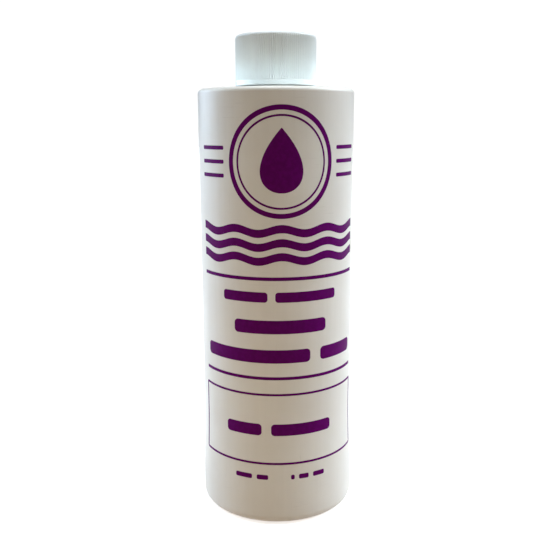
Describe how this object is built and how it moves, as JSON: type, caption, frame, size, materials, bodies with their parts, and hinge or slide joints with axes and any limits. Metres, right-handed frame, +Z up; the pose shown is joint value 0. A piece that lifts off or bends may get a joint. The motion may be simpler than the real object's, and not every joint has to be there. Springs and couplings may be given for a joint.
{
  "type": "round plastic bottle of cutting oil",
  "caption": "Straight-sided round plastic bottle of glass-cutting oil with a fine-ribbed screw cap, a foam cap liner and the oil inside.",
  "frame": {"origin": "centre of the standing ring, on the surface that the bottle stands on", "axes": "+Z up along the bottle's own axis, from the base to the cap; -Y out of the printed front"},
  "size_m": [0.0518, 0.0518, 0.1562],
  "materials": {
    "bottle_plastic": "satin",
    "cap_plastic": "satin",
    "liner_foam": "matte",
    "oil": "gloss",
    "print_ink": "satin"
  },
  "bodies": {
    "bottle": {"bottle": "bottle_plastic", "oil": "oil"},
    "liner": {"cap_liner": "liner_foam"},
    "cap": {"screw_cap": "cap_plastic"}
  },
  "joints": [
    {"name": "cap_lift", "type": "slide", "parent": "bottle", "child": "liner", "axis": [0, 0, 1], "range_m": [0, 0.0255]},
    {"name": "cap_turn", "type": "hinge", "parent": "liner", "child": "cap", "pos_m": [0, 0, 0.1487], "axis": [0, 0, 1], "range_deg": [0, 2880]}
  ],
  "couplings": [
    {"joint": "cap_lift", "follows": "cap_turn", "m_per_rad": 0.0005053}
  ]
}
